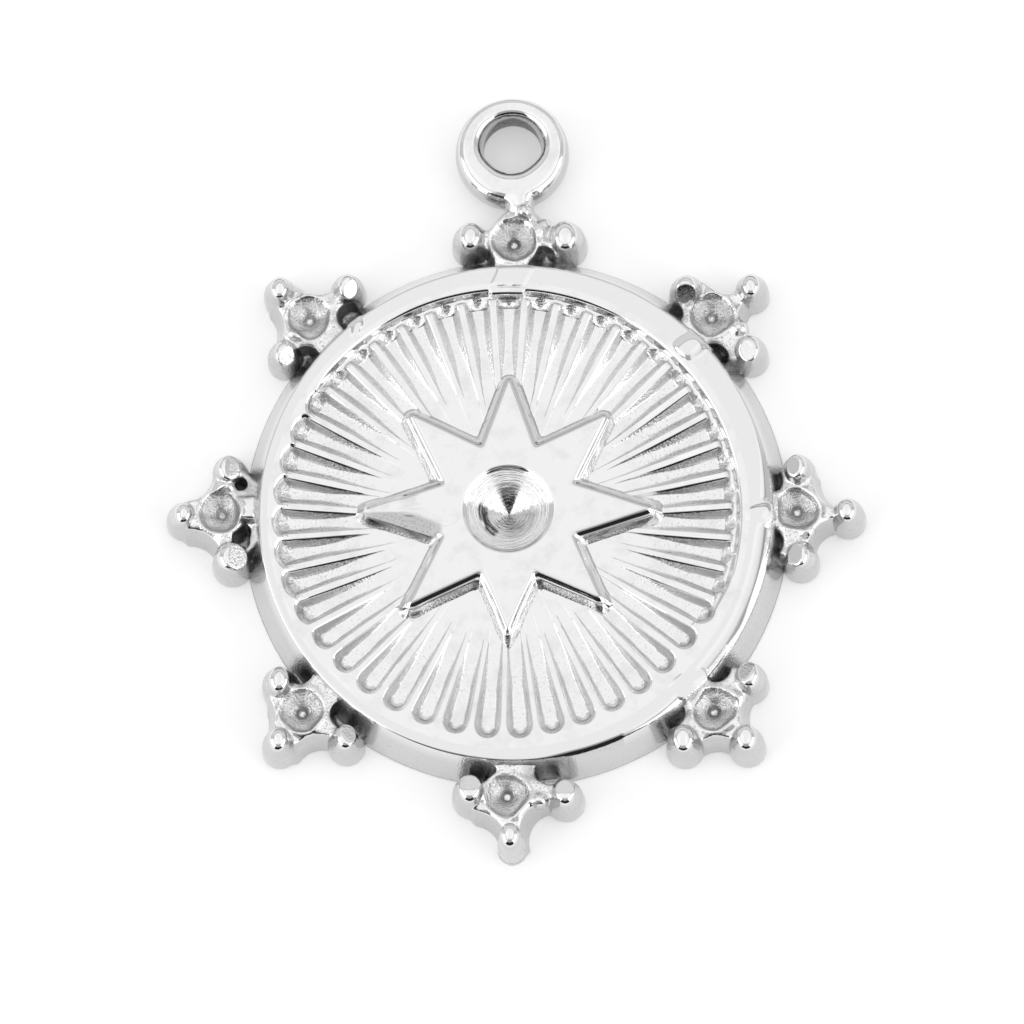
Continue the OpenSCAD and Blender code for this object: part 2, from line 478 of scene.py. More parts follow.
@dataclass(frozen=True)
class PlatedFinish:
    """Rhodium-plated cast brass, polished where the wheel reaches and pitted in its recesses."""

    name: str = "rhodium_plated_brass"
    colour: str = "#E8E8E8"
    # Painted shade mixes the plate towards this colour
    shade_colour: str = "#4C4C4C"
    polished_roughness: float = 0.10
    cast_roughness: float = 0.26
    pit_mm: float = 0.07
    pit_depth_mm: float = 0.034
    pit_shade: float = 0.55
    mottle_mm: float = 0.8
    mottle_shade: float = 0.10
    ripple_mm: float = 1.1
    ripple_depth_mm: float = 0.006
    turning_mm: float = 0.055
    turning_depth_mm: float = 0.026
    turning_drift: float = 1.6
    scratch_gain: float = 3.0
    shade_pits: float = 0.6
    shade_even: float = 0.84

    def build(self) -> Material:
        """Makes the material.

        Returns:
            The material.
        """
        # The plate is a white mirror with faint clouds. Cast recesses look frosted, with dark pin-pricks,
        # and the turned seat has fine rings. The pits are coarser than real grit, or they wouldn't show.
        material = bpy.data.materials.new(self.name)
        add = partial(add_node, cleared(material))
        place = add("TexCoord", output="Object")
        pitted, turned, painted_shade = (
            add("Attribute", attribute_name=name, output="Fac") for name in (PITTED, TURNED, PAINTED_SHADE)
        )
        grains = ((self.pit_mm, 2.0, 0.5), (self.ripple_mm, 1.0, 0.5), (self.mottle_mm, 4.0, 0.65))
        pits, ripple, clouds = (
            add("TexNoise", {"Vector": place, "Scale": 1 / (size * MM), "Detail": detail, "Roughness": fine})
            for size, detail, fine in grains
        )
        x = add("SeparateXYZ", [place])
        y = x.node.outputs["Y"]
        squares = [add("Math", [v, 2.0], operation="POWER") for v in (x, y)]
        out = add("Math", [add("Math", squares, operation="ADD")], operation="SQRT")
        turn = add("Math", [y, x], operation="ARCTAN2")
        ring = add("Math", [out, self.turning_mm * MM], operation="DIVIDE")
        drift = add("Math", [turn, self.turning_drift], operation="MULTIPLY")
        rings = add("TexNoise", {"Vector": add("CombineXYZ", [ring, drift]), "Scale": 1.0, "Detail": 2.0})
        normal = add("Bump", {"Height": ripple, "Distance": self.ripple_depth_mm * MM})
        for height, depth, strength in (
            (rings, self.turning_depth_mm, turned),
            (pits, self.pit_depth_mm, pitted),
        ):
            levels = {"Height": height, "Distance": depth * MM, "Strength": strength, "Normal": normal}
            normal = add("Bump", levels)
        levels = {"Value": pitted, "To Min": self.polished_roughness, "To Max": self.cast_roughness}
        roughness = add("MapRange", levels)
        holes, mottle = (
            add("MapRange", {"Value": value, "From Min": start, "From Max": full, "To Max": shade})
            for value, start, full, shade in (
                (pits, 0.43, 0.34, self.pit_shade),
                (clouds, 0.48, 0.68, self.mottle_shade),
            )
        )
        scratch = add("Math", [rings, 0.5], operation="SUBTRACT")
        scratch = add("Math", [turned, scratch], operation="MULTIPLY")
        specks = add("Math", [holes, self.shade_pits, self.shade_even], operation="MULTIPLY_ADD")
        specks = add("Math", [scratch, self.scratch_gain, specks], operation="MULTIPLY_ADD")
        # The pits darken pitted metal; the painted-shade mark, broken up by the pits and the seat's rings,
        # paints shade over recesses, joints and steep sides
        darks = [add("Math", pair, operation="MULTIPLY") for pair in ((holes, pitted), (painted_shade, specks))]
        shade = add("Math", darks, operation="MAXIMUM")
        shade = add("Math", [shade, mottle], operation="MAXIMUM")
        mixed = {0: shade, 6: linear(self.colour), 7: linear(self.shade_colour)}
        colour = add("Mix", mixed, output=2, data_type="RGBA")
        looks = {"Base Color": colour, "Metallic": 1.0, "Roughness": roughness, "Normal": normal}
        add("OutputMaterial", [add("BsdfPrincipled", looks)])
        return material


@dataclass(frozen=True)
class FloorFinish:
    """White studio paper, lit from behind so that shadows on it stay faint."""

    name: str = "white_paper"
    colour: str = "#E2E2E2"
    glow_colour: str = "#FFFFFF"
    glow: float = 0.30
    roughness: float = 0.9

    def build(self) -> Material:
        """Makes the material.

        Returns:
            The material.
        """
        # Uncoated paper is matt and even. Its glow keeps it white close to the charm too.
        material = bpy.data.materials.new(self.name)
        add = partial(add_node, cleared(material))
        looks = {
            "Base Color": linear(self.colour),
            "Roughness": self.roughness,
            "Emission Color": linear(self.glow_colour),
            "Emission Strength": self.glow,
        }
        add("OutputMaterial", [add("BsdfPrincipled", looks)])
        return material


def finished(mesh: Mesh, name: str, material: Material, crease: float = 0.0, within: float = 0.0) -> Object:
    """Brings a mesh from millimetres to metres and into the charm.

    Args:
        mesh: The piece's mesh.
        name: The piece's name.
        material: Its finish.
        crease: Angle in degrees from which an edge looks sharp, or 0 for none.
        within: Distance from the centre up to which edges may look sharp.

    Returns:
        The piece.
    """
    mesh.transform(Matrix.Scale(MM, 4))
    mesh.name = name
    mesh.materials.clear()
    mesh.materials.append(material)
    mesh.polygons.foreach_set("use_smooth", [True] * len(mesh.polygons))
    if crease:
        mesh.set_sharp_from_angle(angle=math.radians(crease))
        ends = np.empty(len(mesh.edges) * 2, np.int32)
        mesh.edges.foreach_get("vertices", ends)
        reach = np.hypot(*rows_of(mesh).T[:2])[ends.reshape(-1, 2)].max(axis=1)
        sharp = np.empty(len(mesh.edges), bool)
        layer = mesh.attributes["sharp_edge"].data
        layer.foreach_get("value", sharp)
        layer.foreach_set("value", sharp & (reach < within * MM))
    obj = linked(name, mesh)
    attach(obj, BODY)
    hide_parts(NODE)
    log.info("%s: %d faces", name, len(mesh.polygons))
    return obj


# The sunburst disc


@dataclass
class Places:
    """Points of the face, each with its nearest ray and groove and its share in the marked stretches."""

    r: Array
    bearing: Array
    ray: Array
    off_ray: Array
    beside_groove: Array
    past_scoop: Array
    south: Array
    flush: Array


@dataclass
class Rays:
    """The raised rays of the sunburst and the rounded ends of the grooves between them."""

    count: int = 43
    first: float = 4.5
    seed: int = 7
    floor_z: float = 0.93
    floor_sink: float = 0.012
    climb: float = 0.132
    climb_bend: float = 0.36
    foot_r: float = 4.26
    foot_uneven: float = 0.3
    foot_lean: float = 0.30
    foot_lean_at: float = 95
    foot_fade: tuple[float, float] = (5.6, 4.0)
    end_r: float = 7.36
    end_drop: float = 0.16
    wall_r: float = 7.71
    foot_half: float = 0.080
    top_half: float = 0.096
    half_uneven: float = 0.005
    strip: float = 0.055
    strip_slope: float = 1.12
    scoop_r: float = 7.17
    scoop_half: float = 0.52
    bowl_high: float = 0.20
    bowl_slope: float = 0.80
    ledge: float = 0.24
    draft: float = 0.55
    south_draft: float = -0.21
    least_steep: float = 0.9
    steeper: float = 0.33
    steeper_r: float = 5.45
    least_south: float = 1.1
    steeper_south: float = 1.3
    steeper_south_r: float = 5.4
    edge_run: float = 0.09
    edge_slope: float = 1.05
    uneven: float = 0.010
    arch: float = 0.13
    joint: float = 0.03
    floor_round: float = 0.07
    south_round: float = 0.11
    west_squeeze: float = 0.20
    south_shift: float = 0.05
    south_brim: float = 0.09
    north_edge: float = 0.03
    flush_lift: float = 0.6
    rim_round: float = 0.02
    south_climb: float = 0.078
    south_climb_r: float = 5.2
    south: Stretch = Stretch(181, 50, 76)
    west: Stretch = Stretch(268, 26, 42)
    arched: Stretch = Stretch(359.9, 3.6, 4.8)
    hollow: Stretch = Stretch(0.2, 1.6, 2.4)
    end_shade: Stretch = Stretch(0, 60, 100)
    cleaned: Stretch = Stretch(0, 35, 55)

    @property
    def pitch(self) -> float:
        """Angle from ray to ray in degrees."""
        return 360 / self.count

    @property
    def strip_drop(self) -> float:
        """How far a ray's polished edge falls."""
        return self.strip * self.strip_slope

    def half(self, r: Array) -> Array:
        """Half the width of a ray's flat top at distances from the centre."""
        share = np.clip((np.asarray(r, float) - self.foot_r) / (self.wall_r - self.foot_r), -0.4, 1.2)
        return self.foot_half + (self.top_half - self.foot_half) * share

    def top(self, r: Array) -> Array:
        """Height of a ray's top above the back: it rises from the floor and then climbs evenly."""
        out = np.asarray(r, float) - self.foot_r
        return self.floor_z - self.floor_sink + self.climb / 2 * (out + np.sqrt(out * out + self.climb_bend))

    def steep(self, r: Array) -> Array:
        """Slope of a ray's wall below its polished edge, steeper towards the rim."""
        return self.least_steep + self.steeper * np.maximum(np.asarray(r, float) - self.steeper_r, 0) ** 2

    def steep_south(self, r: Array) -> Array:
        """The same slope where the rays run flush into the rim."""
        return self.least_south + self.steeper_south * np.maximum(r - self.steeper_south_r, 0)

    def stops(self, r: float) -> list[float]:
        """Where the disc's columns cross half a ray and groove, in line with the ray's edges.

        Args:
            r: Distance from the centre.

        Returns:
            Thirteen distances from a ray's middle to the groove's middle.
        """
        end = math.pi * r / self.count
        w = min(float(self.half(r)), end * 0.42)
        drop = max(float(self.top(r)) - self.floor_z - self.strip_drop, 0)
        foot = min(w + self.strip + max(drop / float(self.steep(r)), 0.05), end - 0.06)
        strip = min(self.strip, (foot - w) * 0.45)
        wall = w + strip
        low = foot - w - strip
        crest = [0.0, w * 0.55, w - 0.014, w + 0.006, w + strip * 0.5, wall - 0.008, wall + 0.012]
        fall = [wall + low * 0.36, wall + low * 0.68, foot - 0.012]
        return [*crest, *fall, foot + 0.016, (foot + end) / 2 + 0.01, end]

    def places(self, r: Array, bearing: Array) -> Places:
        """Finds the nearest ray and groove of points.

        Args:
            r: Distances from the centre.
            bearing: Bearings.

        Returns:
            The points with what was found.
        """
        steps = (bearing - self.first) / self.pitch
        ray, groove = np.rint(steps), np.rint(steps - 0.5) + 0.5
        off, turn = (np.radians(bearing - self.first - number * self.pitch) for number in (ray, groove))
        south, west = self.south.share(bearing), self.west.share(bearing)
        beside = r * np.sin(turn) * (1.0 - self.west_squeeze * west)
        past = r * np.cos(turn) - self.scoop_r + self.south_shift * south
        number = ray.astype(int) % self.count
        return Places(r, bearing, number, off, beside, past, south, np.maximum(south, west))

    def crests(self, at: Places) -> tuple[Array, Array]:
        """Heights of the rays, none quite like the next.

        Args:
            at: The points.

        Returns:
            The height of the nearest ray's top, and the same with its walls falling away.
        """
        rng = np.random.default_rng(self.seed)
        rise, wide, reach = (rng.uniform(-1, 1, self.count)[at.ray] for _ in range(3))
        foot = self.foot_uneven * reach + self.foot_lean * np.cos(np.radians(at.bearing - self.foot_lean_at))
        along = at.r * np.cos(at.off_ray)
        top = self.top(at.r + foot * ramp(*self.foot_fade, at.r)) + self.uneven * rise * (1 - at.south)
        top = top + self.south_climb * at.south * np.maximum(along - self.south_climb_r, 0)
        top = top - self.end_drop * (1 - at.flush) * ramp(self.end_r - 0.02, self.end_r + 0.10, along)
        across = np.abs(at.r * np.sin(at.off_ray)) - self.half(at.r) - self.half_uneven * wide
        steep = self.steep(at.r) * (1 - at.south) + self.steep_south(at.r) * at.south
        below = self.strip_drop + (across - self.strip) * steep
        side = np.where(across < self.strip, across * self.strip_slope, below)
        return top, top - np.maximum(side, 0)

    def cavity(self, at: Places, rim_z: float) -> Array:
        """Heights of the floor, the grooves' rounded ends and the rim's inner wall.

        Args:
            at: The points.
            rim_z: Height of the rim's top.

        Returns:
            The heights.
        """
        arch = self.arch * self.arched.share(at.bearing)
        edge = self.edge_run - self.north_edge * (1 - at.flush)
        draft = self.draft + self.south_draft * at.south
        bowl = self.bowl_high * (1 - at.south)
        foot = edge + (rim_z - self.floor_z - bowl - edge * self.edge_slope) * draft

        def wall_z(inward: Array) -> Array:
            """Height of a wall at distances in from its brim."""
            below = edge * self.edge_slope + (inward - edge) / draft
            steep_z = rim_z - np.where(inward < edge, inward * self.edge_slope, below)
            return np.maximum(steep_z, self.floor_z + bowl - self.bowl_slope * (inward - foot))

        brim = self.scoop_half - self.south_brim * at.south - arch
        scoop = wall_z(brim - np.hypot(at.beside_groove, at.past_scoop))
        channel = np.where(at.past_scoop < 0, self.floor_z - 0.1, scoop)
        wall = np.maximum(wall_z(self.wall_r - arch - at.r), self.floor_z + self.ledge)
        wall = wall + self.flush_lift * at.flush
        floor, rounding = np.full_like(at.r, self.floor_z), self.floor_round + self.south_round * at.south
        return soft_max(soft_min(channel, wall, self.joint), floor, rounding)

    def wear(self, at: Places, top: Array, z: Array, rim_z: float) -> tuple[Array, Array]:
        """How the metal of the rays and grooves looks.

        Args:
            at: The points.
            top: Heights of the nearest rays' tops.
            z: Heights.
            rim_z: Height of the rim's top.

        Returns:
            How pitted it is and how much painted shade it gets.
        """
        up, down, below = z - self.floor_z, top - z, self.strip_drop
        raised = ramp(0.03, 0.10, top - self.floor_z)
        walls = ramp(below - 0.012, below + 0.012, down) * ramp(0.02, 0.06, up)
        walls = walls * ramp(rim_z - 0.03, rim_z - 0.07, z)
        shoulder = (1 - at.flush) * ramp(0.30, 0.26, up) * ramp(0.08, 0.18, np.abs(at.beside_groove))
        ends = ramp(7.22, 7.32, at.r) * ramp(rim_z - 0.10, rim_z - 0.14, z)
        ends = ends * ramp(0.01, 0.04, down + 0.06 * (1 - at.flush))
        ends = ends * (1 - 0.9 * shoulder) * (1 - 0.6 * at.south)
        hem = ramp(0.09, 0.0, np.abs(up - 0.03))
        cleaned = np.maximum(at.south, self.cleaned.share(at.bearing))
        pitted = np.maximum(walls, 0.5 * hem) * raised * (1 - 0.4 * cleaned)
        hollow = self.hollow.share(at.bearing) * ramp(rim_z - 0.12, rim_z - 0.18, z)
        hollow = hollow * (at.r > 7.3) * ramp(0.16, 0.22, up)
        east = np.sin(np.radians(at.bearing))
        turned_south = ramp(0.55, 0.85, np.abs(east)) * (at.off_ray * east > 0)
        # Painted shade in the groove ends on the loop's side, in the hollow under the loop's arch, and on the
        # east and west groove walls that face south
        painted_shade = highest(
            0.22 * ends * self.end_shade.share(at.bearing),
            0.8 * hollow,
            0.42 * walls * turned_south * raised,
        )
        return highest(pitted, 0.95 * ends, 0.04 * ramp(0.04, 0.01, up)), painted_shade

    def relief(self, r: Array, bearing: Array, rim_z: float) -> tuple[Array, ...]:
        """The sunburst and the rim's inner wall.

        Args:
            r: Distances from the centre.
            bearing: Bearings.
            rim_z: Height of the rim's top.

        Returns:
            The heights, how pitted the metal is and how much painted shade it gets.
        """
        at = self.places(r, bearing)
        top, ray = self.crests(at)
        z = soft_max(self.cavity(at, rim_z), ray, self.joint)
        z = soft_min(z, np.full_like(r, rim_z), self.rim_round)
        return z, *self.wear(at, top, z, rim_z)


@dataclass
class Nub:
    """A flattened inner prong on the rim."""

    bearing: float
    r: float
    size: float
    top_z: float


@dataclass
class Disc:
    """The round plate with its sunburst, rim and sloping side."""

    rays: Rays = field(default_factory=Rays)
    hidden_r: float = 2.3
    rim_r: float = 7.8
    top_r: float = 8.33
    base_r: float = 9.0
    rim_z: float = 1.45
    nub_sink: float = 0.03
    pad_high: float = 0.045
    pad: Stretch = Stretch(359.9, 3.6, 4.5)
    half_columns: int = 12
    edge_r: float = 8.37
    east_worn: float = 0.32
    south_east_worn: float = 0.10
    edge_wave: Noise = Noise(0.02, 9, 3)
    rim_wave: Noise = Noise(0.006, 1.3, 11)
    burst_wave: Noise = Noise(0.010, 0.9, 12)
    soften: float = 0.03
    side_cast: float = 0.12
    root_cast: float = 0.6
    # Painted shade on the side beside the settings, more in the lee, and down the side
    root_shade: float = 0.55
    lee_shade: float = 0.4
    rim_grey: float = 0.08
    side_shade: float = 0.26
    burst_at: tuple[float, float] = (-0.07, -0.12)
    nubs: Sequence[Nub] = (
        Nub(46.6, 8.06, 0.62, 1.60),
        Nub(90.9, 8.05, 0.46, 1.51),
        Nub(135.5, 8.04, 0.66, 1.495),
        Nub(320.6, 8.15, 0.40, 1.52),
    )

    def stations(self) -> Section:
        """The disc's rows, from the hidden middle over the face and side to the back.

        Returns:
            Distance from the centre and height of each row.
        """
        rows = [(0.0, 0.4), (1.2, 0.4), (2.1, 0.4), (2.25, 0.7)]
        rows += [(r, self.rays.floor_z) for r in np.linspace(2.4, 6.95, 20)]
        rows += [(r, self.rays.floor_z) for r in np.linspace(7.0, 7.80, 38)]
        rows += [(r, self.rim_z) for r in np.linspace(7.86, 8.30, 9)]
        rows += [(8.345, 1.443), (8.38, 1.415), (8.41, 1.37), (8.44, 1.31)]
        rows += [(8.60, 0.97), (8.76, 0.62), (8.92, 0.27), (self.base_r, 0.09), (8.98, 0.03)]
        return rows + [(r, 0.0) for r in (8.92, 6.0, 3.0, 0.0)]

    def sector(self) -> BMesh:
        """One ray's share of the disc.

        Returns:
            The sector, about the first ray.
        """
        rows, columns = self.stations(), self.half_columns
        half = math.radians(self.rays.pitch / 2)
        even = [i / columns for i in range(columns + 1)]
        angles = []
        for r, z in rows:
            aligned = self.hidden_r < r < 7.85 and z > 0.5
            stops = self.rays.stops(r) if aligned else even
            share = float(ramp(7.3, 7.6, r)) if aligned else 1.0
            angles.append([(s / stops[-1] * (1 - share) + e * share) * half for s, e in zip(stops, even)])

        def place(i: int, j: int) -> Point:
            """The point of a column and row."""
            r, z = rows[j]
            a = math.radians(self.rays.first) + math.copysign(angles[j][abs(i - columns)], i - columns)
            return r * math.sin(a), r * math.cos(a), z

        return placed_grid(2 * columns, len(rows) - 1, place)

    def edge_start(self, bearing: Array) -> Array:
        """Where the rim's flat top gives way to its worn outer edge."""
        worn = self.edge_r - self.east_worn * window(62, 98, 132, 152, bearing)
        worn = worn - self.south_east_worn * window(140, 150, 166, 178, bearing)
        return worn - self.edge_wave.over(bearing, bearing * 0)

    def rim(self, x: Array, y: Array, z: Array) -> Array:
        """Heights of the rim with its worn edge, its nubs and the pad at the loop.

        Args:
            x: First coordinates.
            y: Second coordinates.
            z: Heights before that.

        Returns:
            The new heights.
        """
        r, bearing = polar(x, y)
        upper = (r > self.rim_r) & (z > 1.0)
        north = np.abs(turn_apart(bearing, 0)) < 55
        slope = np.select([(bearing > 60) & (bearing < 155), north], [0.55, 0.62], 0.9)
        worn = soft_min(z, self.rim_z - (r - self.edge_start(bearing)) * slope, self.soften)
        z = np.where(upper, np.minimum(z, worn), z)
        low = self.rim_z - self.nub_sink
        for nub in self.nubs:
            nub_x, nub_y = at_bearing(0, nub.r, nub.bearing)
            d = np.hypot(x - nub_x, y - nub_y) / nub.size
            lump = low + (nub.top_z - self.rim_z + self.nub_sink) * ramp(1.0, 0.2, d)
            z = np.where(upper & (d < 1), soft_max(z, lump, self.soften), z)
        return z + self.pad_high * self.pad.share(bearing) * (upper & (r < self.top_r))

    def build(self, material: Material) -> Object:
        """Makes the disc.

        Args:
            material: Its finish.

        Returns:
            The piece.
        """
        bm = self.sector()
        spin_round(bm, self.rays.count)
        mesh = to_mesh(bm, "disc")
        x, y, z = rows_of(mesh).T
        r, bearing = polar(x, y)
        face = (r > self.hidden_r) & (r < 8.31) & (z > 0.6)
        relief, pitted, shade = self.rays.relief(r, bearing, self.rim_z)
        z = np.where(face, relief, z)
        upper = (r > 7.86) & (z > 1.0)
        z = self.rim(x, y, z)
        z = z + np.where(face & (r > 7.75), self.rim_wave.over(x, y), 0)
        z = z + np.where(face & (r < 7.75), self.burst_wave.over(x, y), 0)
        outer = np.where(z < 0.3, 1.0, ramp(7.72, self.top_r, r)) * (r > self.hidden_r)
        x = x + SIDE_SHIFT * outer + self.burst_at[0] * (1 - outer)
        y = y + self.burst_at[1] * (1 - outer)
        move_points(mesh, np.column_stack([x, y, z]))
        side, roots = (r > 8.4) & (z > 0.02), np.abs(from_arm(bearing))
        cast = self.side_cast + self.root_cast * ramp(16, 6, roots)
        mark(mesh, PITTED, np.where(side, cast, face * pitted))
        # Painted shade on the disc's side beside the settings' roots, more at bearings 226 to 246, and along
        # the lower side; the rim's top gets a faint even grey
        lee = window(226, 230, 238, 246, bearing)
        shade_level = side * (self.root_shade + self.lee_shade * lee) * window(2.6, 3.8, 6, 15, roots)
        grey = self.rim_grey * upper + self.side_shade * side * (z < 1.3)
        mark(mesh, PAINTED_SHADE, highest(shade_level * ramp(1.34, 1.10, z), grey, face * shade))
        return finished(mesh, "sunburst_disc", material, crease=27, within=7.15)


# The star


@dataclass
class Star:
    """The eight-pointed star and the turned seat in its middle."""

    top_z: float = 1.52
    step_z: float = 1.366
    floor_z: float = 0.93
    hidden_z: float = 0.50
    valley_r: float = 2.28
    valley_round: float = 0.20
    tip_round: float = 0.06
    seat_r: float = 1.49
    seat_depth: float = 0.88
    seat_lip: float = 0.07
    seat_clear: float = 1.8
    tips: Sequence[float] = (4.42, 4.45, 4.60, 4.24, 4.02, 4.44, 4.55, 4.54)
    mean_tip: float = 4.45
    tip_extra: float = 0.11
    columns: int = 48
    spread: Sequence[float] = (0.2, 0.4, 0.6, 0.78, 0.87, 0.93, 0.97)
    wall: Section = (
        (-0.15, 1.520), (-0.09, 1.515), (-0.045, 1.505), (-0.010, 1.487), (0.020, 1.462), (0.048, 1.432),
        (0.076, 1.400), (0.100, 1.374), (0.112, 1.366), (0.152, 1.358), (0.164, 1.346), (0.184, 1.290),
        (0.224, 1.175), (0.266, 1.060), (0.304, 0.970), (0.350, 0.925), (0.38, 0.86), (0.38, 0.50),
    )
    top_wave: Noise = Noise(0.004, 1.0, 21)
    streaks: Noise = Noise(1.0, 0.05, 31)
    broad_streaks: Noise = Noise(0.4, 9, 32)
    flank_worn: float = 0.70
    far_push: float = 0.035
    south_pinch: float = 0.75
    south_reach: float = 0.34
    # Painted shade at the top's edge, on the west arm's slope, round the foot and in the seat
    edge_shade: float = 0.20
    slope_shade: float = 0.5
    foot_shade: float = 0.42
    lit_foot_shade: float = 0.12
    band_shade: float = 2.0
    lower_shade: float = 0.34
    far_arms: Sequence[tuple[float, ...]] = ((68, 74, 106, 112), (112, 118, 152, 158), (202, 208, 286, 292))

    def outline(self, turn: float, grow: float) -> float:
        """Distance from the centre to the star's wall.

        Args:
            turn: Angle from an arm's middle, in degrees.
            grow: How far the wall stands out from the top's edge.

        Returns:
            The distance.
        """
        step, theta = math.radians(ARM_STEP), math.radians(abs(turn))
        tip = self.mean_tip + self.tip_extra
        flank = math.atan2(self.valley_r * math.sin(step / 2), tip - self.valley_r * math.cos(step / 2))
        lean = math.pi / 2 - flank
        reach = tip * math.sin(flank)
        middle = (reach - self.tip_round) / math.sin(flank)
        radius = self.tip_round + grow
        touch = math.atan2(radius * math.sin(lean), middle + radius * math.cos(lean))
        if theta < touch:
            inside = radius * radius - (middle * math.sin(theta)) ** 2
            return middle * math.cos(theta) + math.sqrt(max(inside, 0))
        own, other = (np.float64((reach + grow) / math.cos(a - lean)) for a in (theta, step - theta))
        return float(soft_max(own, other, self.valley_round))

    def seat(self) -> Section:
        """The rows of the seat, from its drill point to the star's top, steeper at its middle and brim.

        Returns:
            Distance from the centre and height of each row.
        """
        share = np.linspace(0, 0.97, 34)
        slopes = 0.74 + 0.66 * ramp(0.60, 0.40, share) + 1.1 * ramp(0.88, 0.96, share)
        rise = np.concatenate([[0], np.cumsum((slopes[1:] + slopes[:-1]) / 2 * np.diff(share))])
        rise = rise / rise[-1] * (self.seat_depth - 0.04)
        r, high, low = self.seat_r, self.top_z, self.top_z - self.seat_depth
        rows = [(r * t, low + h) for t, h in zip(share.tolist(), rise.tolist())]
        return [*rows, (r * 0.99, high - 0.017), (r + 0.02, high - 0.004), (r + self.seat_lip, high)]

    def sector(self) -> BMesh:
        """One arm's share of the star.

        Returns:
            The sector, about the loop's bearing.
        """
        seat, half = self.seat(), self.columns // 2
        top, wall = len(seat), len(seat) + len(self.spread)
        last = wall + len(self.wall)

        def place(i: int, j: int) -> Point:
            """The point of a column and row."""
            turn = ARM_STEP / 2 * signed_power((i - half) / half, 1.5)
            a = math.radians(turn)
            r, z = 0.0, self.hidden_z
            if j < top:
                r, z = seat[j]
            elif j < wall:
                t, z = self.spread[j - top], self.top_z
                r = (self.seat_r + self.seat_lip) * (1 - t) + self.outline(turn, self.wall[0][0]) * t
            elif j < last:
                grow, z = self.wall[j - wall]
                r = self.outline(turn, grow)
            return r * math.sin(a), r * math.cos(a), z

        return placed_grid(self.columns, last, place)

    def lengthened(self, r: Array, bearing: Array) -> Array:
        """Brings each arm from the mean length to its own.

        Args:
            r: Distances from the centre.
            bearing: Bearings.

        Returns:
            The new distances.
        """
        out = np.clip((r - self.valley_r) / (self.mean_tip - self.valley_r), 0, 1.2)
        for i, tip in enumerate(self.tips):
            own = np.abs(turn_apart(bearing, i * ARM_STEP)) < ARM_STEP / 2 - 0.1
            r = np.where(own, r + (tip - self.mean_tip) * out, r)
        return r

    def from_flank(self, x: Array, y: Array) -> tuple[Array, Array]:
        """Where points lie, seen from the west arm's southern flank.

        Args:
            x: First coordinates.
            y: Second coordinates.

        Returns:
            Distances along the flank from the valley it starts in, and from the flank.
        """
        west = Bearing.W.value
        valley = Vector(at_bearing(0, self.valley_r, west - ARM_STEP / 2))
        way = (Vector(at_bearing(0, self.mean_tip, west)) - valley).normalized()
        return seen_from(x, y, valley, way)

    def build(self, material: Material) -> Object:
        """Makes the star.

        Args:
            material: Its finish.

        Returns:
            The piece.
        """
        bm = self.sector()
        spin_round(bm, len(self.tips))
        mesh = to_mesh(bm, "star")
        x, y, z = rows_of(mesh).T
        r, bearing = polar(x, y)
        r, a = self.lengthened(r, bearing), np.radians(bearing)
        x, y = r * np.sin(a), r * np.cos(a)

        # The west arm is worn down along its southern flank and at its tip
        past, inside = self.from_flank(x, y)
        lean = inside / (inside + np.abs(y) + 1e-6)
        worn = ramp(0.46, 0.05, inside) * ramp(0.0, 0.4, past) * ramp(1.0, 0.4, lean) * ((y < 0) & (x < 0))
        own = np.abs(turn_apart(bearing, Bearing.W.value)) < ARM_STEP / 2 - 0.1
        worn = np.maximum(worn, ramp(2.9, 3.9, r) * own)
        z = np.where(z > self.step_z, z - self.flank_worn * worn * (z - self.step_z), z)

        # Some tips stand out further at their foot, and the south tip leans over
        along = r * np.cos(np.radians(from_arm(bearing)))
        far = ramp(4.0, 4.4, along) * highest(*(window(*arm, bearing) for arm in self.far_arms))
        drop = np.clip((self.top_z - z) / (self.top_z - self.floor_z), 0, 1)
        push = 1 + self.far_push * far * drop
        x, y = x * push, y * push
        south = (np.abs(turn_apart(bearing, 180)) < 16) & (r > 3)
        x = np.where(south, x * (1 - self.south_pinch * drop * ramp(3.7, 4.4, -y)), x)
        y = np.where(south, y - self.south_reach * drop * ramp(3.5, 4.2, -y), y)
        clear = r > self.seat_clear
        # Painted shade along the top's rounded edge
        edge = self.edge_shade * window(1.42, 1.46, 1.508, 1.5195, z) * clear
        z = z + np.where((z > 1.4) & (r > 1.6), self.top_wave.over(x, y), 0)
        move_points(mesh, np.column_stack([x, y, z]))

        # Grit lies round the foot, less so on walls that look towards the loop; painted shade darkens the
        # foot, less so on those walls, and the top's edge, the west arm's southern slope and the seat
        north = ramp(0.15, 0.45, rows_of(mesh, "normal")[:, 1])
        pitted = (ramp(1.20, 0.98, z) + 0.25 * (z < 1.35)) * clear
        mark(mesh, PITTED, pitted * (1 - 0.5 * north) * (1 - 0.8 * far))
        arm = ramp(246, 249, bearing) * (bearing < 270)
        foot = self.foot_shade + (self.lit_foot_shade - self.foot_shade) * np.maximum(north, arm)
        foot = foot * ramp(1.04, 0.96, z) * clear * (1 - far)
        slope = self.slope_shade * ramp(0.40, 0.24, inside) * ramp(0.0, 0.3, past)
        slope = slope * ramp(-0.04, -0.10, y) * arm * (z > 1.0)
        mark(mesh, PAINTED_SHADE, highest(foot, edge, slope, self.seat_shade(r, bearing) * (z > 0.6)))
        mark(mesh, TURNED, ramp(self.seat_r - 0.02, self.seat_r - 0.08, r) * (z > 0.6))
        return finished(mesh, "star", material)

